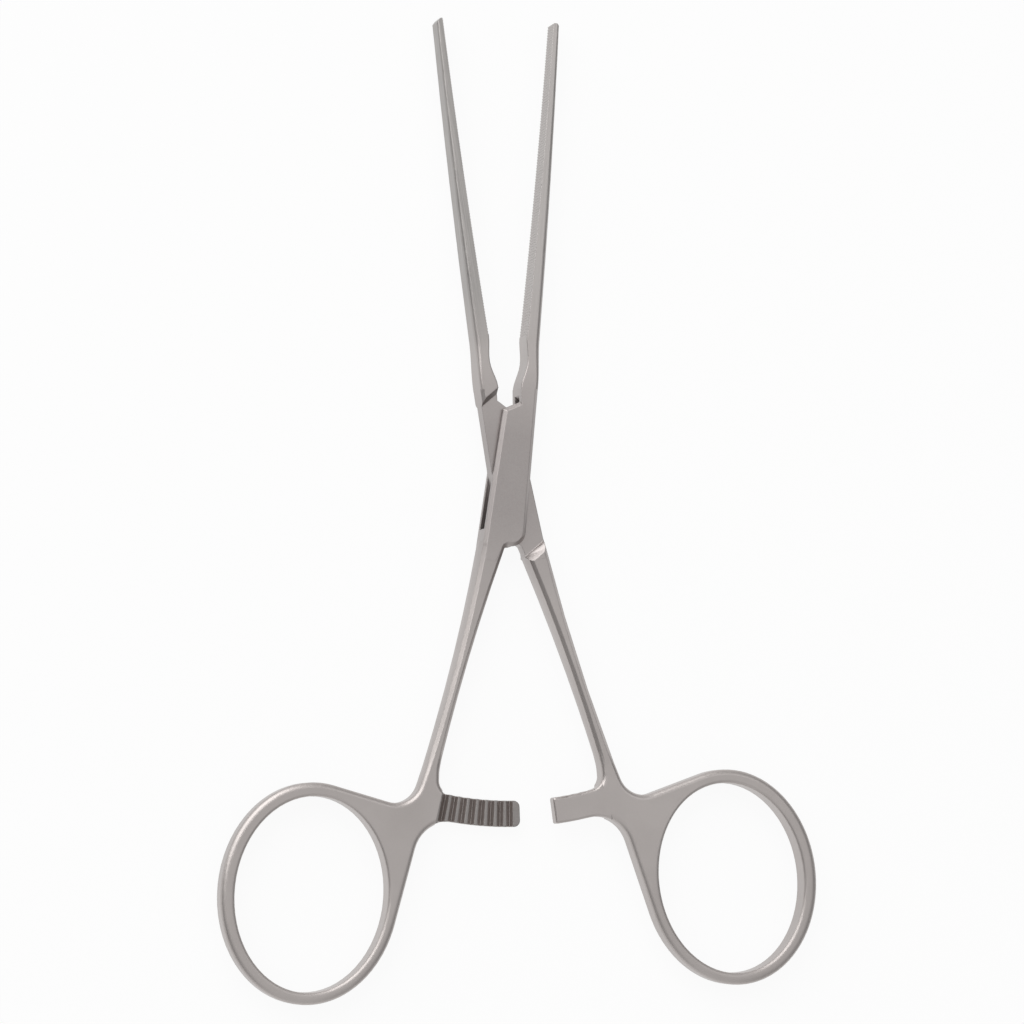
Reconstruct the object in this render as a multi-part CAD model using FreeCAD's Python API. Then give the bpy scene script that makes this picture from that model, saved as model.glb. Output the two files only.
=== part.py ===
"""Ring-handled bulldog clamp with a box lock.

Two forged halves cross at a box lock and turn on one riveted pin. The box half
carries the right jaw, the slotted box and the left handle. The tongue half
carries the left jaw, the thin tongue that runs through the slot, and the right
handle. Both start from the same blank. Each is drawn with the jaws closed, as
the box half lies; the tongue half is then turned over about the clamp's long
axis, and each half is swung open by half of the opening angle.

Frame: millimetres, +Z up along the pivot, +Y towards the jaw tips, origin on
the pivot's axis in the plane of the box's underside.
"""
import FreeCAD
import Part
import math
import os

V = FreeCAD.Vector
ORIGIN = V(0, 0, 0)
UP = V(0, 0, 1)

# Opening of the clamp as it lies
OPENING_DEG = 14.2
JAW_LEAN_DEG = 0.4

# Box lock
BOX_THICK = 4.0
BOX_HALF_WIDTH = 2.42
BOX_CORNER = V(-1.85, 8.2, 0)
BOX_SHOULDER = V(0.3, 9.4, 0)
BOX_FOOT = 9.0
BOX_FOOT_ROUND = 1.9
BLOCK_END = 11.0
BLOCK_HEAD = 10.0
BLOCK_PROUD = 0.03
BOX_ARCH_ROUND = 0.5
BOX_BEVEL = 0.45
TONGUE_THICK = 2.0
TONGUE_CORNER = 7.0
TONGUE_HEAD = V(0.25, 9.6, 0)
TONGUE_FOOT = V(-0.28, -9.3, 0)
TONGUE_HEEL = V(-0.25, -10.6, 0)
TONGUE_REACH = 9.0
UPPER_SHOULDER_RUN = 0.6
LOWER_SHOULDER_RUN = 1.0
SHOULDER_TILT_DEG = 31.8
SLOT_PLAY = 0.05
SLOT_HEAD = V(0.1, 10.4, 0)
SLOT_TAIL = V(-2.55, -7.4, 0)
SLOT_SLOPE_DEG = 43.0

# Riveted pin
PIN_RADIUS = 1.1
PIN_HEAD_RADIUS = 1.4
PIN_HEAD_DEPTH = 0.4
PIN_PLAY = 0.04

# Jaws
BOX_JAW_TIP = 58.45
TONGUE_JAW_TIP = 58.7
JAW_HEEL = 18.0
JAW_RELIEF_AT = 14.6
JAW_ROOT = 11.2
JAW_TIP_WIDTH = 0.85
JAW_HEEL_WIDTH = 1.85
JAW_TIP_THICK = 2.6
JAW_HEEL_THICK = 3.6
JAW_TIP_GAP = 0.1
JAW_HEEL_GAP = 0.6
JAW_BOW = 0.17
JAW_RELIEF = 0.4
JAW_ROOT_GAP = 0.24
JAW_FACE_EDGE = 0.1
JAW_BACK_SHARE = 0.4
JAW_TIP_NOSE = 0.15
BOX_JAW_TIP_BEVEL = 0.3
TONGUE_JAW_TIP_BEVEL = 0.45
TOOTH_PITCH = 0.36
TOOTH_DEPTH = 0.13
TOOTH_CREST = 0.02

# Shank
SHANK_LEAN_DEG = 10.65
SHANK_OFFSET = 0.255
SHANK_START = 8.6
SHANK_START_THICK = 3.99
SHANK_WAIST = 28.0
SHANK_END = 42.0
SHANK_START_WIDTH = 3.15
SHANK_HEAD_SHIFT = 0.08
SHANK_WAIST_WIDTH = 1.48
SHANK_END_WIDTH = 2.27
SHANK_END_THICK = 2.9
SHANK_BURY = 0.15
SHANK_CROWN = 0.12

# Finger ring and the plate that joins it to the shank and the rack
RING_CENTRE = V(-20.98, -54.55, 0)
RING_HALF_WIDTH = 9.72
RING_HALF_LENGTH = 12.1
RING_WIRE = 1.6
OPENING_SHIFT = V(0.14, -0.09, 0)
RING_THICK = 3.1
RING_OUTER_EDGE = 0.66
RING_INNER_EDGE = 0.35
PLATE_START = 35.0
PLATE_NECK = 38.0
PLATE_NECK_ROUND = 6.0
CROTCH = V(-9.0, -43.0, 0)
CROTCH_ROUND = 3.3

# Ratchet racks, with their places as angles about the pivot
RACK_INNER_RADIUS = 40.95
RACK_OUTER_RADIUS = 44.25
RACK_ROOT_DEG = 7.6
RACK_CORNER_ROUND = 1.7
RACK_LEG_ROUND = 4.6
RACK_LEG_DEG = 9.6
RACK_OVERLAP_DEG = 0.3
RACK_EDGE = 0.3
RACK_TOOTH_DEG = 1.66
RACK_TOOTH_DEPTH = 0.75
RACK_PLAY = 0.05
BOX_RACK_TIP_DEG = 7.1
BOX_RACK_TIP_ROUND = 0.8
BOX_RACK_TEETH = 8
TONGUE_RACK_TIP_DEG = 1.5
TONGUE_RACK_TIP_ROUND = 0.25
TONGUE_RACK_TEETH = 4
NOTCH_SLOPE = 0.5
NOTCH_STEEP = 0.2

# Height of a corner's middle over the straight bevel, as a share of its size
BEVEL_FULLNESS = 0.05
ROUND_FULLNESS = 0.207

MID = BOX_THICK / 2


def blend(start, end, share):
    """Value that lies the given share of the way from start to end."""
    return start + (end - start) * share


def flat_face(points):
    """Closed face through the given points, in the mid plane."""
    loop = [V(point.x, point.y, MID) for point in points]
    return Part.Face(Part.makePolygon(loop + loop[:1]))


def slab(face, thick):
    """Solid of one thickness on both sides of the mid plane."""
    low = face.copy()
    low.translate(V(0, 0, -thick / 2))
    return low.extrude(V(0, 0, thick))


def between(face, low, high):
    """Solid over a face in the mid plane, from one height to another."""
    moved = face.copy()
    moved.translate(V(0, 0, low - MID))
    return moved.extrude(V(0, 0, high - low))


def is_upright(edge):
    ends = [vertex.Point for vertex in edge.Vertexes]
    return len(ends) == 2 and (ends[1] - ends[0]).cross(UP).Length < 1e-6


def upright_edge_near(solid, place):
    """Upright edge that stands closest to a place in plan."""
    def distance(edge):
        foot = edge.Vertexes[0].Point
        return math.hypot(foot.x - place.x, foot.y - place.y)
    return min(filter(is_upright, solid.Edges), key=distance)


def rim_edges(solid, thick, keep=None):
    """Edges round the top and the foot of a slab, where keep allows them."""
    rims = []
    for edge in solid.Edges:
        box = edge.BoundBox
        level = box.ZLength < 1e-6 and abs(abs(box.ZMin - MID) - thick / 2) < 1e-6
        if level and (keep is None or keep(edge)):
            rims.append(edge)
    return rims


def curve(start, middle, end):
    """Arc through three points, or a straight edge where they lie in line."""
    if (middle - start).cross(end - start).Length < 1e-6:
        return Part.makeLine(start, end)
    return Part.Arc(start, middle, end).toShape()


def rod_section(y, sides, thick, crown, edges, fullness):
    """Upright section of a rod: flat top and foot, crowned sides and four corners.

    Sides, edges and fullness hold the left and the right value. The fullness of a
    corner is the height of its middle over a straight bevel, as a share of its size.
    """
    half = thick / 2

    def at(x, z):
        return V(x, y, MID + z)

    def corner(index, level):
        """Points of one corner, from the side to the top or the foot."""
        inward = 1 - 2 * index
        flank = sides[index] + inward * crown
        edge = edges[index]
        middle = edge * (0.5 - fullness[index])
        return [
            at(flank, level * (half - edge)),
            at(flank + inward * middle, level * (half - middle)),
            at(flank + inward * edge, level * half),
        ]

    left_foot, left_top, right_foot, right_top = [
        corner(index, level) for index in (0, 1) for level in (-1, 1)
    ]
    return Part.Wire([
        curve(left_foot[0], at(sides[0], 0), left_top[0]),
        curve(*left_top),
        Part.makeLine(left_top[2], right_top[2]),
        curve(*reversed(right_top)),
        curve(right_top[0], at(sides[1], 0), right_foot[0]),
        curve(*right_foot),
        Part.makeLine(right_foot[2], left_foot[2]),
        curve(*reversed(left_foot)),
    ])


def shank_sides(along):
    """Left and right side of the shank in plan, at a distance below the pivot."""
    lean = math.radians(SHANK_LEAN_DEG)
    centre = SHANK_OFFSET - along * math.tan(lean)
    if along < SHANK_WAIST:
        share = ((SHANK_WAIST - along) / (SHANK_WAIST - SHANK_START)) ** 2
        width = blend(SHANK_WAIST_WIDTH, SHANK_START_WIDTH, share)
        centre -= SHANK_HEAD_SHIFT * share
    else:
        share = ((along - SHANK_WAIST) / (SHANK_END - SHANK_WAIST)) ** 2
        width = blend(SHANK_WAIST_WIDTH, SHANK_END_WIDTH, share)
    half = width / 2 / math.cos(lean)
    return centre - half, centre + half


def shank():
    """Handle rod from the box to the plate, narrowest at its waist."""
    sections = []
    steps = 8
    for step in range(steps + 1):
        share = step / steps
        along = blend(SHANK_START, SHANK_END, share)
        thick = blend(SHANK_START_THICK, SHANK_END_THICK, share ** 1.5)
        edges = BOX_BEVEL, BOX_BEVEL
        fullness = BEVEL_FULLNESS, BEVEL_FULLNESS
        sides = shank_sides(along)
        sections.append(rod_section(-along, sides, thick, SHANK_CROWN, edges, fullness))
    return Part.makeLoft(sections, True, False)


def jaw_share(along):
    return (along - JAW_HEEL) / (TONGUE_JAW_TIP - JAW_HEEL)


def jaw_face(along):
    """Distance of the gripping face from the plane where the jaws meet."""
    share = jaw_share(along)
    return blend(JAW_HEEL_GAP, JAW_TIP_GAP, share) / 2 + JAW_BOW * 4 * share * (1 - share)


def jaw_section(along, face, back, thick, back_edge, lean):
    """Section of a jaw whose meeting plane leans sideways from the box onward."""
    shift = (along - JAW_ROOT) * lean
    sides = face + shift, back + shift
    return rod_section(along, sides, thick, 0, (JAW_FACE_EDGE, back_edge), (0, ROUND_FULLNESS))


def jaw_blade(tip, lean):
    """Tapered working length of the jaw, with a bowed gripping face."""
    sections = []
    steps = 6
    for step in range(steps + 1):
        along = blend(JAW_HEEL, tip, step / steps)
        share = jaw_share(along)
        width = blend(JAW_HEEL_WIDTH, JAW_TIP_WIDTH, share)
        face = jaw_face(along)
        thick = blend(JAW_HEEL_THICK, JAW_TIP_THICK, share)
        sections.append(jaw_section(along, face, face + width, thick, width * JAW_BACK_SHARE, lean))
    return Part.makeLoft(sections, True, False)


def swell(share):
    """Smooth rise from nought to one."""
    return (1 - math.cos(math.pi * share)) / 2


def jaw_neck(lean):
    """Relieved root of the jaw, from the heel of its face to the box."""
    heel = jaw_face(JAW_HEEL)
    relief = heel + JAW_RELIEF
    sections = []
    steps = 10
    for step in range(steps + 1):
        share = step / steps
        along = blend(JAW_HEEL, JAW_ROOT, share)
        if along > JAW_RELIEF_AT:
            face = blend(heel, relief, swell((JAW_HEEL - along) / (JAW_HEEL - JAW_RELIEF_AT)))
        else:
            dip = swell((JAW_RELIEF_AT - along) / (JAW_RELIEF_AT - JAW_ROOT))
            face = blend(relief, JAW_ROOT_GAP / 2, dip)
        back = blend(heel + JAW_HEEL_WIDTH, BOX_HALF_WIDTH, swell(share))
        thick = blend(JAW_HEEL_THICK, BOX_THICK, swell(share))
        back_edge = blend(JAW_HEEL_WIDTH * JAW_BACK_SHARE, BOX_BEVEL, swell(share))
        sections.append(jaw_section(along, face, back, thick, back_edge, lean))
    return Part.makeLoft(sections, True, True)


def jaw_comb(tip, lean):
    """Row of fine grooves across the gripping face, as one solid to cut away."""
    count = int((tip - JAW_HEEL) / TOOTH_PITCH)

    def at(along, depth):
        return V(jaw_face(along) + depth + (along - JAW_ROOT) * lean, along, 0)

    outline = [V(-BOX_HALF_WIDTH, JAW_HEEL, 0)]
    for index in range(count):
        start = JAW_HEEL + index * TOOTH_PITCH
        outline.append(at(start, TOOTH_CREST))
        outline.append(at(start + TOOTH_PITCH / 2, TOOTH_DEPTH))
    last = JAW_HEEL + count * TOOTH_PITCH
    outline.append(at(last, TOOTH_CREST))
    outline.append(V(-BOX_HALF_WIDTH, last, 0))
    return slab(flat_face(outline), BOX_THICK)


def jaw_tip_cutter(tip, bevel, lean):
    """Space beyond the tip of a jaw, with a bevel at its back and a small nose."""
    face = jaw_face(tip) + (tip - JAW_ROOT) * lean
    back = face + JAW_TIP_WIDTH
    return slab(flat_face([
        V(face - JAW_TIP_NOSE, tip - 2 * JAW_TIP_NOSE, 0),
        V(face + JAW_TIP_NOSE, tip, 0),
        V(back - bevel, tip, 0),
        V(back + bevel, tip - 2 * bevel, 0),
        V(back + bevel, tip + 1, 0),
        V(face - JAW_TIP_NOSE, tip + 1, 0),
    ]), BOX_THICK)


def jaw(tip, bevel, lean):
    """Jaw with its teeth, leant with the plane where the two jaws meet."""
    blade = jaw_blade(tip, lean).cut(jaw_comb(tip, lean)).cut(jaw_tip_cutter(tip, bevel, lean))
    return blade.fuse(jaw_neck(lean))


def lock_block(right_side, left_side, rounds):
    """Full-thickness block round the pivot, on the shank's head and the jaw's root."""
    left, right = shank_sides(BLOCK_END)
    outline = [
        V(JAW_ROOT_GAP / 2, JAW_ROOT, 0),
        V(BOX_HALF_WIDTH, JAW_ROOT, 0),
        *right_side,
        V(right - SHANK_CROWN - SHANK_BURY, -BLOCK_END, 0),
        V(left + SHANK_CROWN + SHANK_BURY, -BLOCK_END, 0),
        V(shank_sides(BOX_FOOT)[0] + SHANK_CROWN - BLOCK_PROUD, -BOX_FOOT, 0),
        V(-BOX_HALF_WIDTH, 0, 0),
        *left_side,
    ]
    block = slab(flat_face(outline), BOX_THICK)
    for place, radius in rounds:
        block = block.makeFillet(radius, [upright_edge_near(block, place)])

    def outer(edge):
        return -BLOCK_END + 1e-3 < edge.BoundBox.Center.y < BLOCK_HEAD

    return block.makeChamfer(BOX_BEVEL, rim_edges(block, BOX_THICK, outer))


def box_block():
    foot = V(BOX_HALF_WIDTH, -BOX_FOOT, 0)
    arch = V(shank_sides(BOX_FOOT)[1] - SHANK_CROWN + BLOCK_PROUD, -BOX_FOOT, 0)
    rounds = [(foot, BOX_FOOT_ROUND), (arch, BOX_ARCH_ROUND)]
    return lock_block([foot, arch], [BOX_CORNER, BOX_SHOULDER], rounds)


def tongue_block():
    """Block of the tongue half, which has to pass the box half's shank and jaw."""
    right_side = [V(BOX_HALF_WIDTH, -TONGUE_CORNER, 0), TONGUE_FOOT, TONGUE_HEEL]
    return lock_block(right_side, [V(-BOX_HALF_WIDTH, TONGUE_CORNER, 0), TONGUE_HEAD], [])


def ring_outline(margin):
    """Elliptic face of the ring, at a margin outside its opening."""
    ellipse = Part.Ellipse(V(0, 0, 0), RING_HALF_LENGTH + margin, RING_HALF_WIDTH + margin)
    face = Part.Face(Part.Wire([ellipse.toShape()]))
    face.rotate(ORIGIN, UP, 90)
    face.translate(V(RING_CENTRE.x, RING_CENTRE.y, MID))
    return face


def ring_tangent(point, turn):
    """Place where a straight line from a point touches the ring's outside."""
    across = RING_HALF_WIDTH + RING_WIRE
    along = RING_HALF_LENGTH + RING_WIRE
    east = (point.x - RING_CENTRE.x) / across
    north = (point.y - RING_CENTRE.y) / along
    angle = math.atan2(north, east) + turn * math.acos(1 / math.hypot(east, north))
    return RING_CENTRE + V(across * math.cos(angle), along * math.sin(angle), 0)


def polar(radius, degrees):
    """Point at a radius from the pivot, at an angle from straight down."""
    angle = math.radians(degrees)
    return V(radius * math.sin(angle), -radius * math.cos(angle), MID)


def rack_face(start_deg, tip_deg):
    middle = (start_deg + tip_deg) / 2
    inner = [polar(RACK_INNER_RADIUS, angle) for angle in (start_deg, middle, tip_deg)]
    outer = [polar(RACK_OUTER_RADIUS, angle) for angle in (tip_deg, middle, start_deg)]
    return Part.Face(Part.Wire([
        Part.Arc(*inner).toShape(),
        Part.makeLine(inner[2], outer[0]),
        Part.Arc(*outer).toShape(),
        Part.makeLine(outer[2], inner[0]),
    ]))


def handle_slab(rack_tip_deg):
    """Ring, web and rack as one slab, with the corners between them rounded in plan."""
    left, right = shank_sides(PLATE_START)
    neck = V(shank_sides(PLATE_NECK)[1], -PLATE_NECK, 0)
    middle_radius = blend(RACK_INNER_RADIUS, RACK_OUTER_RADIUS, 0.5)
    leg = polar(middle_radius, -RACK_LEG_DEG)
    web = flat_face([
        V(left + SHANK_BURY, -PLATE_START, 0),
        V(right - SHANK_BURY, -PLATE_START, 0),
        neck,
        polar(middle_radius, -RACK_ROOT_DEG),
        leg,
        ring_tangent(leg, -1),
        blend(RING_CENTRE, CROTCH, 0.4),
        ring_tangent(CROTCH, 1),
        CROTCH,
    ])
    rack = rack_face(-RACK_LEG_DEG - 0.6, rack_tip_deg)
    plate = slab(ring_outline(RING_WIRE), RING_THICK)
    plate = plate.fuse([slab(web, RING_THICK), slab(rack, RING_THICK)]).removeSplitter()
    rounds = [
        (CROTCH, CROTCH_ROUND),
        (neck, PLATE_NECK_ROUND),
        (polar(RACK_OUTER_RADIUS, -RACK_LEG_DEG), RACK_LEG_ROUND),
        (polar(RACK_INNER_RADIUS, -RACK_ROOT_DEG), RACK_CORNER_ROUND),
    ]
    for place, radius in rounds:
        plate = plate.makeFillet(radius, [upright_edge_near(plate, place)])
    return plate


def rack_bay(root_deg, low, high):
    """Space of a rack, from its root outward, between two heights."""
    bay = Part.Face(Part.makePolygon([
        polar(RACK_INNER_RADIUS - 3, root_deg),
        polar(RACK_OUTER_RADIUS + 3, root_deg),
        polar(RACK_OUTER_RADIUS + 3, RACK_ROOT_DEG * 3),
        polar(RACK_INNER_RADIUS - 3, RACK_ROOT_DEG * 3),
        polar(RACK_INNER_RADIUS - 3, root_deg),
    ]))
    return between(bay, low, high)


def handle_plate():
    """Ring and web with rounded rims, cut off square at the root of the rack."""
    plate = handle_slab(RACK_ROOT_DEG * 2)

    def open_edge(edge):
        return edge.BoundBox.Center.y < -PLATE_START - 1e-3 and edge.BoundBox.XMin < 0

    plate = plate.makeFillet(RING_OUTER_EDGE, rim_edges(plate, RING_THICK, open_edge))
    plate = plate.cut(rack_bay(-RACK_ROOT_DEG, -1, BOX_THICK + 1))
    opening = slab(ring_outline(0), RING_THICK)
    opening.translate(OPENING_SHIFT)
    plate = plate.cut(opening)

    def inner_edge(edge):
        return edge.BoundBox.XLength > 1.9 * RING_HALF_WIDTH

    return plate.makeFillet(RING_INNER_EDGE, rim_edges(plate, RING_THICK, inner_edge))


def rack_notch(turn_deg):
    """Saw-tooth notch, with its steep face towards the rack's tip."""
    top = MID - RACK_PLAY
    floor = top - RACK_TOOTH_DEPTH
    middle_radius = blend(RACK_INNER_RADIUS, RACK_OUTER_RADIUS, 0.5)
    pitch = middle_radius * math.radians(RACK_TOOTH_DEG)
    near = -RACK_OUTER_RADIUS - 1
    profile = Part.Face(Part.makePolygon([
        V(-NOTCH_SLOPE * pitch, near, top),
        V(0, near, floor),
        V(NOTCH_STEEP * pitch, near, top),
        V(NOTCH_STEEP * pitch, near, top + 1),
        V(-NOTCH_SLOPE * pitch, near, top + 1),
        V(-NOTCH_SLOPE * pitch, near, top),
    ]))
    notch = profile.extrude(V(0, RACK_OUTER_RADIUS - RACK_INNER_RADIUS + 3, 0))
    notch.rotate(ORIGIN, UP, turn_deg)
    return notch


def rack(tip_deg, tip_round, teeth):
    """Lower half of the handle's thickness beyond the root, with teeth on top."""
    bar = handle_slab(tip_deg)
    for radius in (RACK_INNER_RADIUS, RACK_OUTER_RADIUS):
        bar = bar.makeFillet(tip_round, [upright_edge_near(bar, polar(radius, tip_deg))])

    def rack_rim(edge):
        return edge.BoundBox.ZMin < MID and edge.BoundBox.XMax > -RACK_LEG_ROUND

    bar = bar.makeFillet(RACK_EDGE, rim_edges(bar, RING_THICK, rack_rim))
    bar = bar.common(rack_bay(-RACK_ROOT_DEG - RACK_OVERLAP_DEG, -1, MID - RACK_PLAY))
    for index in range(teeth):
        bar = bar.cut(rack_notch(tip_deg - (index + 0.92) * RACK_TOOTH_DEG))
    return bar


def blank(block, rack, jaw):
    """One forged half, before its box or its tongue is cut."""
    handle = shank().fuse(handle_plate()).fuse(rack)
    return handle.fuse(block).fuse(jaw)


def slot_cutter():
    """Slot through the box, open at both sides and closed by jaw and shank."""
    slope = math.radians(SLOT_SLOPE_DEG)
    reach = V(math.cos(slope), -math.sin(slope), 0) * 8
    face = flat_face([
        SLOT_HEAD - reach,
        SLOT_HEAD + reach,
        SLOT_TAIL + reach,
        SLOT_TAIL - reach,
    ])
    return slab(face, TONGUE_THICK + 2 * SLOT_PLAY)


def pin_solid(play):
    """Pin with its two flush riveted heads, or the hole that it fills."""
    radius = PIN_RADIUS + play
    head = PIN_HEAD_RADIUS + play
    half = Part.Face(Part.makePolygon([
        V(0, 0, 0),
        V(head, 0, 0),
        V(radius, 0, PIN_HEAD_DEPTH),
        V(radius, 0, BOX_THICK - PIN_HEAD_DEPTH),
        V(head, 0, BOX_THICK),
        V(0, 0, BOX_THICK),
        V(0, 0, 0),
    ]))
    return half.revolve(ORIGIN, UP, 360)


def box_half():
    ratchet = rack(BOX_RACK_TIP_DEG, BOX_RACK_TIP_ROUND, BOX_RACK_TEETH)
    blade = jaw(BOX_JAW_TIP, BOX_JAW_TIP_BEVEL, math.tan(math.radians(JAW_LEAN_DEG)))
    half = blank(box_block(), ratchet, blade)
    half = half.cut([slot_cutter(), pin_solid(0)])
    half.rotate(ORIGIN, UP, -OPENING_DEG / 2)
    return half.Solids[0]


def tongue_thinning():
    """Metal above the tongue, between its two sloped shoulders."""
    low = TONGUE_THICK / 2
    head = TONGUE_REACH + UPPER_SHOULDER_RUN
    foot = TONGUE_REACH + LOWER_SHOULDER_RUN
    profile = Part.Face(Part.makePolygon([
        V(0, -TONGUE_REACH, MID + low),
        V(0, TONGUE_REACH, MID + low),
        V(0, head, MID * 2),
        V(0, head, MID * 3),
        V(0, -foot, MID * 3),
        V(0, -foot, MID * 2),
        V(0, -TONGUE_REACH, MID + low),
    ]))
    profile.translate(V(-10, 0, 0))
    cutter = profile.extrude(V(20, 0, 0))
    cutter.rotate(ORIGIN, UP, -SHOULDER_TILT_DEG)
    return cutter


def tongue_half():
    ratchet = rack(TONGUE_RACK_TIP_DEG, TONGUE_RACK_TIP_ROUND, TONGUE_RACK_TEETH)
    blade = jaw(TONGUE_JAW_TIP, TONGUE_JAW_TIP_BEVEL, -math.tan(math.radians(JAW_LEAN_DEG)))
    half = blank(tongue_block(), ratchet, blade)
    upper = tongue_thinning()
    lower = upper.copy()
    lower.rotate(V(0, 0, MID), V(0, 1, 0), 180)
    lower.rotate(ORIGIN, UP, -2 * SHOULDER_TILT_DEG)
    bore = Part.makeCylinder(PIN_RADIUS + PIN_PLAY, BOX_THICK)
    half = half.cut([upper, lower, bore])
    half.rotate(V(0, 0, MID), V(0, 1, 0), 180)
    half.rotate(ORIGIN, UP, OPENING_DEG / 2)
    return half.Solids[0]


def main():
    os.makedirs("parts", exist_ok=True)
    solids = {
        "box_half": box_half(),
        "tongue_half": tongue_half(),
        "pivot_pin": pin_solid(0),
    }
    for name, shape in solids.items():
        shape.exportStep("parts/" + name + ".step")


main()
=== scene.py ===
"""Ring-handled bulldog clamp lying open on a plain white table, seen from above.

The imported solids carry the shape. This script gives them satin steel, lays the
table, lights it softly and sets the camera. Lengths are in metres.
"""
import bpy
import math
from mathutils import Matrix, Vector

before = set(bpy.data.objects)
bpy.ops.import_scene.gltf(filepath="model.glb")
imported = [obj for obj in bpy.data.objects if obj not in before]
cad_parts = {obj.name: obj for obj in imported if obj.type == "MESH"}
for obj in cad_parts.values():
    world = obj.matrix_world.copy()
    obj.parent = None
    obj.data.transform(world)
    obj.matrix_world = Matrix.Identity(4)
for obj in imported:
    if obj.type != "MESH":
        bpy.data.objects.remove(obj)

MM = 0.001

# Camera, as fitted to the photograph
SENSOR_MM = 36
CAMERA_LENS_MM = 141.44
CAMERA_DISTANCE = 508.84 * MM
CAMERA_SIDE_DEG = 16.3145
CAMERA_TIP_DEG = -4.7688
CAMERA_ROLL_DEG = 2.0002
CAMERA_AIM = Vector((-0.10, 0.05, -2.0)) * MM
CAMERA_SHIFT = Vector((-0.346, 4.494, 0)) * MM

# Colours of the steel
STEEL_COLOUR = (0.48, 0.443, 0.428, 1)
STEEL_DARK = (0.435, 0.40, 0.386, 1)
STEEL_MILLED = (0.345, 0.315, 0.308, 1)
# painted shade: darker colour for the upward-facing tops of the rack teeth
RACK_TOP_PAINTED_SHADE = (0.27, 0.25, 0.242, 1)
# lighter colour for pits and ground lines (wear), and for rounded edges (wear and painted
# highlight)
STEEL_WORN_AND_HIGHLIGHT = (0.52, 0.495, 0.478, 1)
BOX_JAW_COLOUR = (0.44, 0.414, 0.402, 1)
# painted shade: the tongue half's jaw is coloured darker
TONGUE_JAW_PAINTED_SHADE = (0.31, 0.297, 0.288, 1)

# Finish of the steel
SATIN_ROUGHNESS = 0.36
PIN_ROUGHNESS = 0.34
ROUGHNESS_SPREAD = 0.05
SATIN_GRAIN = 0.11 * MM
PIN_GRAIN = 0.09 * MM
CLOUD_SIZE = 8 * MM
WORN_PIT_SHARE = 0.35
LINE_WIDTH = 0.12 * MM
LINE_LENGTH = 12 * MM
WORN_LINE_SHARE = 0.5
BUMP_DEPTH = 0.006 * MM
BUMP_STRENGTH = 0.6

# Softened edges: radius by place, and how fast a bent normal shows as a lighter colour, partly
# edge wear and partly painted highlight
SATIN_EDGE_RADIUS = 0.16 * MM
PIN_EDGE_RADIUS = 0.05 * MM
RING_EDGE_RADIUS = 0.5 * MM
JAW_EDGE_SHARE = 0.15
EDGE_GAIN = 1.0
EDGE_SAMPLES = 6

# Where the finish changes, by distance from the pin, by height, by facing and along the clamp;
# the darker upward-facing rack tops are painted shade
MILLED_REACH = 5 * MM
MILLED_FADE = 17 * MM
PIN_EDGE = 1.2 * MM
PIN_CLEAR = 2.2 * MM
RACK_LEVEL = 1.97 * MM
RACK_FRONT = -36 * MM
FACING_FROM = 0.8
FACING_FULL = 0.95
JAW_FROM = 13 * MM
JAW_FULL = 24 * MM
RING_FROM = -43 * MM
RING_FULL = -50 * MM
HALF_OPENING_DEG = 7.1

# Table and light
TABLE_HALF = 1.5
TABLE_DROP = 0.02 * MM
TABLE_GREY = 0.8
TABLE_GLOW = 0.92
KEY_PLACE = (-0.5, 0.62, 0.45)
KEY_SIZE = 1.1
KEY_POWER = 7
FILL_PLACE = (0.42, 0.22, 0.78)
FILL_SIZE = 0.4
FILL_POWER = 0.3

# The dome darkens sideways, between these two shares of a ray's direction
DOME_MIDDLE = 0.2
DOME_SIDE = 0.9
DOME_HIGH = 1.0
DOME_LOW = 0.42


def new_group(name, inputs, outputs):
    """Shader node group with the given float inputs and outputs, and its two end nodes."""
    group = bpy.data.node_groups.new(name, "ShaderNodeTree")
    for label, value in inputs:
        socket = group.interface.new_socket(label, in_out="INPUT", socket_type="NodeSocketFloat")
        socket.default_value = value
    for label, kind in outputs:
        group.interface.new_socket(label, in_out="OUTPUT", socket_type=kind)
    return group, group.nodes.new("NodeGroupInput"), group.nodes.new("NodeGroupOutput")


def object_place(tree):
    return tree.nodes.new("ShaderNodeTexCoord").outputs["Object"]


def noise(tree, place, detail, roughness):
    """Noise node at the given place, with its scale left to the caller."""
    node = tree.nodes.new("ShaderNodeTexNoise")
    node.inputs["Detail"].default_value = detail
    node.inputs["Roughness"].default_value = roughness
    tree.links.new(place, node.inputs["Vector"])
    return node


def maths(tree, operation, first, second, clamp=False):
    """Math node on two values, each a socket to link or a number."""
    node = tree.nodes.new("ShaderNodeMath")
    node.operation = operation
    node.use_clamp = clamp
    for slot, value in enumerate((first, second)):
        if isinstance(value, (int, float)):
            node.inputs[slot].default_value = value
        else:
            tree.links.new(value, node.inputs[slot])
    return node.outputs[0]


def vector_maths(tree, operation, *vectors):
    node = tree.nodes.new("ShaderNodeVectorMath")
    node.operation = operation
    for slot, vector in enumerate(vectors):
        tree.links.new(vector, node.inputs[slot])
    return node


def combine(tree, *values):
    """Vector from the values given, with nought for one that is missing."""
    node = tree.nodes.new("ShaderNodeCombineXYZ")
    for slot, value in enumerate(values):
        tree.links.new(value, node.inputs[slot])
    return node.outputs[0]


def separate(tree, vector):
    node = tree.nodes.new("ShaderNodeSeparateXYZ")
    tree.links.new(vector, node.inputs[0])
    return node.outputs


def span(tree, value, low, high, to_low, to_high):
    """Value remapped from one span to another, clamped at both ends."""
    node = tree.nodes.new("ShaderNodeMapRange")
    tree.links.new(value, node.inputs["Value"])
    node.inputs["From Min"].default_value = low
    node.inputs["From Max"].default_value = high
    node.inputs["To Min"].default_value = to_low
    node.inputs["To Max"].default_value = to_high
    return node.outputs["Result"]


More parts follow.
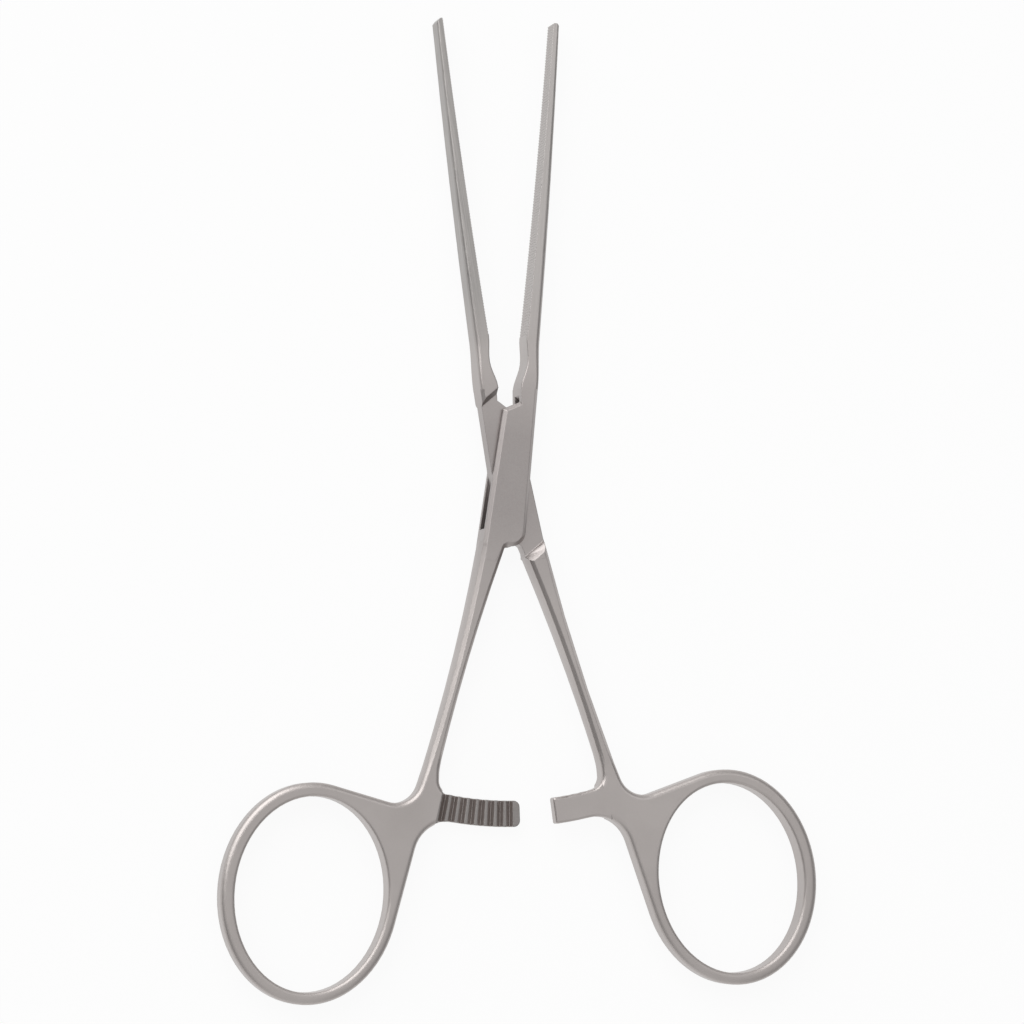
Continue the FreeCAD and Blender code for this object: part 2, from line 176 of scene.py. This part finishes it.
def colour_mix(tree, share, first, second):
    """Colour mixed from the first to the second; a colour may be a value or a socket."""
    node = tree.nodes.new("ShaderNodeMix")
    node.data_type = "RGBA"
    node.clamp_factor = True
    tree.links.new(share, node.inputs["Factor"])
    for label, value in (("A", first), ("B", second)):
        socket = next(s for s in node.inputs if s.name == label and s.type == "RGBA")
        if isinstance(value, tuple):
            socket.default_value = value
        else:
            tree.links.new(value, socket)
    return next(s for s in node.outputs if s.type == "RGBA")


def blasted_grain_group():
    """Fine pits of a bead-blasted surface, and the broad clouds that handling leaves."""
    group, start, end = new_group(
        "blasted grain",
        [("Grain Size", SATIN_GRAIN), ("Cloud Size", CLOUD_SIZE)],
        [("Pits", "NodeSocketFloat"), ("Clouds", "NodeSocketFloat")],
    )
    place = object_place(group)
    for size, output, detail, roughness in (
        ("Grain Size", "Pits", 3, 0.6),
        ("Cloud Size", "Clouds", 3, 0.55),
    ):
        node = noise(group, place, detail, roughness)
        group.links.new(maths(group, "DIVIDE", 1, start.outputs[size]), node.inputs["Scale"])
        group.links.new(node.outputs["Fac"], end.inputs[output])
    return group


def edge_wear_and_highlight_group():
    """Mask that is bright on rounded edges and nought on flats, and the softened normal. The
    mask lightens edges, partly as wear and partly as painted highlight.
    """
    group, start, end = new_group(
        "edge wear and highlight",
        [("Radius", SATIN_EDGE_RADIUS), ("Gain", EDGE_GAIN)],
        [("Edge", "NodeSocketFloat"), ("Normal", "NodeSocketVector")],
    )
    bevel = group.nodes.new("ShaderNodeBevel")
    bevel.samples = EDGE_SAMPLES
    group.links.new(start.outputs["Radius"], bevel.inputs["Radius"])
    plain = group.nodes.new("ShaderNodeNewGeometry").outputs["Normal"]
    match = vector_maths(group, "DOT_PRODUCT", bevel.outputs["Normal"], plain).outputs["Value"]
    turned = maths(group, "SUBTRACT", 1, match)
    edge = maths(group, "MULTIPLY", turned, start.outputs["Gain"], clamp=True)
    group.links.new(edge, end.inputs["Edge"])
    group.links.new(bevel.outputs["Normal"], end.inputs["Normal"])
    return group


def zones_group():
    """Masks of one half: milled middle, clear of the pin, top of the rack (where shade is
    painted), jaw and ring.
    """
    group, _, end = new_group(
        "zones",
        [],
        [(name, "NodeSocketFloat") for name in ("Milled", "Clear", "Rack", "Jaw", "Ring")],
    )
    parts = separate(group, object_place(group))
    flat = combine(group, parts["X"], parts["Y"])
    reach = vector_maths(group, "LENGTH", flat).outputs["Value"]
    facing = separate(group, group.nodes.new("ShaderNodeNewGeometry").outputs["Normal"])
    upward = span(group, facing["Z"], FACING_FROM, FACING_FULL, 0, 1)
    low = maths(group, "LESS_THAN", parts["Z"], RACK_LEVEL)
    front = maths(group, "LESS_THAN", parts["Y"], RACK_FRONT)
    masks = {
        "Milled": span(group, reach, MILLED_REACH, MILLED_FADE, 1, 0),
        "Clear": span(group, reach, PIN_EDGE, PIN_CLEAR, 0, 1),
        # painted shade mask: upward-facing rack faces, low and towards the rings
        "Rack": maths(group, "MULTIPLY", maths(group, "MULTIPLY", low, front), upward),
        "Jaw": span(group, parts["Y"], JAW_FROM, JAW_FULL, 0, 1),
        "Ring": span(group, parts["Y"], RING_FULL, RING_FROM, 1, 0),
    }
    for name, mask in masks.items():
        group.links.new(mask, end.inputs[name])
    return group


def ground_lines_group():
    """Fine lines that lengthwise grinding leaves along a jaw, at its angle to the long axis."""
    group, start, end = new_group(
        "ground lines",
        [("Lean", 0.0), ("Line Width", LINE_WIDTH), ("Line Length", LINE_LENGTH)],
        [("Lines", "NodeSocketFloat")],
    )
    turned = group.nodes.new("ShaderNodeVectorRotate")
    turned.rotation_type = "Z_AXIS"
    group.links.new(object_place(group), turned.inputs["Vector"])
    group.links.new(start.outputs["Lean"], turned.inputs["Angle"])
    across = maths(group, "DIVIDE", 1, start.outputs["Line Width"])
    along = maths(group, "DIVIDE", 1, start.outputs["Line Length"])
    scale = combine(group, across, along, across)
    stretched = vector_maths(group, "MULTIPLY", turned.outputs[0], scale).outputs["Vector"]
    lines = noise(group, stretched, 2, 0.5)
    lines.inputs["Scale"].default_value = 1
    group.links.new(lines.outputs["Fac"], end.inputs["Lines"])
    return group


def steel_colour(tree, grain, edge, zones, ground, jaw_colour):
    """Colour of the steel: clouded, then by zone (painted shade on the rack tops and the tongue
    jaw), then lighter on lines, pits and edges (the edges as wear and painted highlight).
    """
    clouds = span(tree, grain.outputs["Clouds"], 0.3, 0.7, 0, 1)
    forged = colour_mix(tree, clouds, STEEL_DARK, STEEL_COLOUR)
    # jaw tone; on the tongue half this is painted shade
    milled = colour_mix(tree, zones.outputs["Milled"], forged, STEEL_MILLED)
    jaw = colour_mix(tree, zones.outputs["Jaw"], milled, jaw_colour)
    bright_lines = span(tree, ground.outputs["Lines"], 0.35, 0.7, 0, WORN_LINE_SHARE)
    lines = maths(tree, "MULTIPLY", bright_lines, zones.outputs["Jaw"])
    lined = colour_mix(tree, lines, jaw, STEEL_WORN_AND_HIGHLIGHT)
    # painted shade darkens the rack tops
    rack_shaded = colour_mix(tree, zones.outputs["Rack"], lined, RACK_TOP_PAINTED_SHADE)
    flecks = span(tree, grain.outputs["Pits"], 0.35, 0.75, 0, WORN_PIT_SHARE)
    flecked = colour_mix(tree, flecks, rack_shaded, STEEL_WORN_AND_HIGHLIGHT)
    # wear and painted highlight: rounded edges lightened towards the lighter colour
    return colour_mix(tree, edge.outputs["Edge"], flecked, STEEL_WORN_AND_HIGHLIGHT)


def satin_steel(name, groups, roughness, grain_size, edge_radius, jaw_colour, lean_deg):
    """Bead-blasted stainless steel: satin with fine pits, edges lightened as wear and painted
    highlight, and a ground jaw.
    """
    material = bpy.data.materials.new(name)
    material.use_nodes = True
    tree = material.node_tree
    shader = tree.nodes["Principled BSDF"]
    shader.inputs["Metallic"].default_value = 1
    grain, edge, zones, ground = (tree.nodes.new("ShaderNodeGroup") for _ in groups)
    for node, group in zip((grain, edge, zones, ground), groups):
        node.node_tree = group
    grain.inputs["Grain Size"].default_value = grain_size
    ground.inputs["Lean"].default_value = math.radians(lean_deg)

    by_ring = span(tree, zones.outputs["Ring"], 0, 1, edge_radius, RING_EDGE_RADIUS)
    by_jaw = span(tree, zones.outputs["Jaw"], 0, 1, 1, JAW_EDGE_SHARE)
    eased = maths(tree, "MULTIPLY", by_ring, by_jaw)
    tree.links.new(maths(tree, "MULTIPLY", zones.outputs["Clear"], eased), edge.inputs["Radius"])
    # no edge lightening (wear and painted highlight) on the ring and the jaws
    no_wear_or_highlight = maths(tree, "MAXIMUM", zones.outputs["Ring"], zones.outputs["Jaw"])
    tree.links.new(span(tree, no_wear_or_highlight, 0, 1, EDGE_GAIN, 0), edge.inputs["Gain"])

    colour = steel_colour(tree, grain, edge, zones, ground, jaw_colour)
    tree.links.new(colour, shader.inputs["Base Color"])
    smoothest = roughness - ROUGHNESS_SPREAD
    roughest = roughness + ROUGHNESS_SPREAD
    rough = span(tree, grain.outputs["Pits"], 0.3, 0.7, smoothest, roughest)
    tree.links.new(rough, shader.inputs["Roughness"])
    bump = tree.nodes.new("ShaderNodeBump")
    bump.inputs["Distance"].default_value = BUMP_DEPTH
    bump.inputs["Strength"].default_value = BUMP_STRENGTH
    tree.links.new(grain.outputs["Pits"], bump.inputs["Height"])
    tree.links.new(edge.outputs["Normal"], bump.inputs["Normal"])
    tree.links.new(bump.outputs["Normal"], shader.inputs["Normal"])
    return material


def dress(node, material):
    node.data.materials.clear()
    node.data.materials.append(material)


def dress_clamp():
    """Steel on the two halves and the pin. The jaw of the tongue half is painted darker, as
    painted shade.
    """
    groups = blasted_grain_group(), edge_wear_and_highlight_group(), zones_group(), ground_lines_group()
    satin = SATIN_ROUGHNESS, SATIN_GRAIN, SATIN_EDGE_RADIUS
    pin = PIN_ROUGHNESS, PIN_GRAIN, PIN_EDGE_RADIUS
    for node, name, finish, jaw_colour, lean_deg in (
        ("box_half", "box half steel", satin, BOX_JAW_COLOUR, HALF_OPENING_DEG),
        ("tongue_half", "tongue half steel", satin, TONGUE_JAW_PAINTED_SHADE, -HALF_OPENING_DEG),
        ("pivot_pin", "pin steel", pin, TONGUE_JAW_PAINTED_SHADE, 0),
    ):
        dress(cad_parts[node], satin_steel(name, groups, *finish, jaw_colour, lean_deg))


def background_seen(tree):
    """Nought or one: whether a ray comes from the camera or off metal or glass."""
    path = tree.nodes.new("ShaderNodeLightPath")
    seen = maths(tree, "MAXIMUM", path.outputs["Is Camera Ray"], path.outputs["Is Glossy Ray"])
    return maths(tree, "MAXIMUM", seen, path.outputs["Is Transmission Ray"])


def blend_to_output(tree, share, first, second, output):
    """Two shaders mixed by a share and sent to the surface of an output node."""
    blend = tree.nodes.new("ShaderNodeMixShader")
    tree.links.new(share, blend.inputs["Fac"])
    tree.links.new(first.outputs[0], blend.inputs[1])
    tree.links.new(second.outputs[0], blend.inputs[2])
    tree.links.new(blend.outputs[0], tree.nodes.new(output).inputs["Surface"])


def table():
    """Wide white table that keeps a faint shadow under the clamp."""
    mesh = bpy.data.meshes.new("table")
    sides = (-1, -1), (1, -1), (1, 1), (-1, 1)
    corners = [(x * TABLE_HALF, y * TABLE_HALF, -TABLE_DROP) for x, y in sides]
    mesh.from_pydata(corners, [], [(0, 1, 2, 3)])
    top = bpy.data.objects.new("table", mesh)
    bpy.context.scene.collection.objects.link(top)
    material = bpy.data.materials.new("white table")
    material.use_nodes = True
    tree = material.node_tree
    tree.nodes.clear()
    matt = tree.nodes.new("ShaderNodeBsdfDiffuse")
    matt.inputs["Color"].default_value = (TABLE_GREY, TABLE_GREY, TABLE_GREY, 1)
    glow = tree.nodes.new("ShaderNodeEmission")
    share = maths(tree, "MULTIPLY", background_seen(tree), TABLE_GLOW)
    blend_to_output(tree, share, matt, glow, "ShaderNodeOutputMaterial")
    mesh.materials.append(material)


def studio_world():
    """Pale backdrop for the camera; for everything else a dome that is darker to both sides."""
    world = bpy.data.worlds.new("studio")
    bpy.context.scene.world = world
    world.use_nodes = True
    tree = world.node_tree
    tree.nodes.clear()
    away = separate(tree, tree.nodes.new("ShaderNodeTexCoord").outputs["Generated"])
    side = maths(tree, "ABSOLUTE", away["X"], 0)
    dome = tree.nodes.new("ShaderNodeBackground")
    level = span(tree, side, DOME_MIDDLE, DOME_SIDE, DOME_HIGH, DOME_LOW)
    tree.links.new(level, dome.inputs["Strength"])
    backdrop = tree.nodes.new("ShaderNodeBackground")
    from_camera = tree.nodes.new("ShaderNodeLightPath").outputs["Is Camera Ray"]
    blend_to_output(tree, from_camera, dome, backdrop, "ShaderNodeOutputWorld")


def softbox(name, place, size, power):
    """Square lamp that faces the clamp."""
    lamp = bpy.data.lights.new(name, "AREA")
    lamp.size = size
    lamp.energy = power
    holder = bpy.data.objects.new(name, lamp)
    holder.location = place
    holder.rotation_euler = Vector(place).to_track_quat("Z", "Y").to_euler()
    bpy.context.scene.collection.objects.link(holder)


def camera():
    """Long lens above the table, tipped and rolled a little off square."""
    view = bpy.data.cameras.new("camera")
    view.sensor_width = SENSOR_MM
    view.lens = CAMERA_LENS_MM
    view.clip_start = 0.01
    holder = bpy.data.objects.new("camera", view)
    turn = (
        Matrix.Rotation(math.radians(CAMERA_TIP_DEG), 4, "X")
        @ Matrix.Rotation(math.radians(CAMERA_SIDE_DEG), 4, "Y")
        @ Matrix.Translation(CAMERA_AIM)
        @ Matrix.Rotation(math.radians(CAMERA_ROLL_DEG), 4, "Z")
    )
    back = Matrix.Translation(CAMERA_SHIFT - Vector((0, 0, CAMERA_DISTANCE)))
    holder.matrix_world = (back @ turn).inverted()
    bpy.context.scene.collection.objects.link(holder)
    bpy.context.scene.camera = holder


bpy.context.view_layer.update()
dress_clamp()
table()
studio_world()
softbox("key", KEY_PLACE, KEY_SIZE, KEY_POWER)
softbox("fill", FILL_PLACE, FILL_SIZE, FILL_POWER)
camera()
bpy.context.scene.view_settings.view_transform = "Standard"
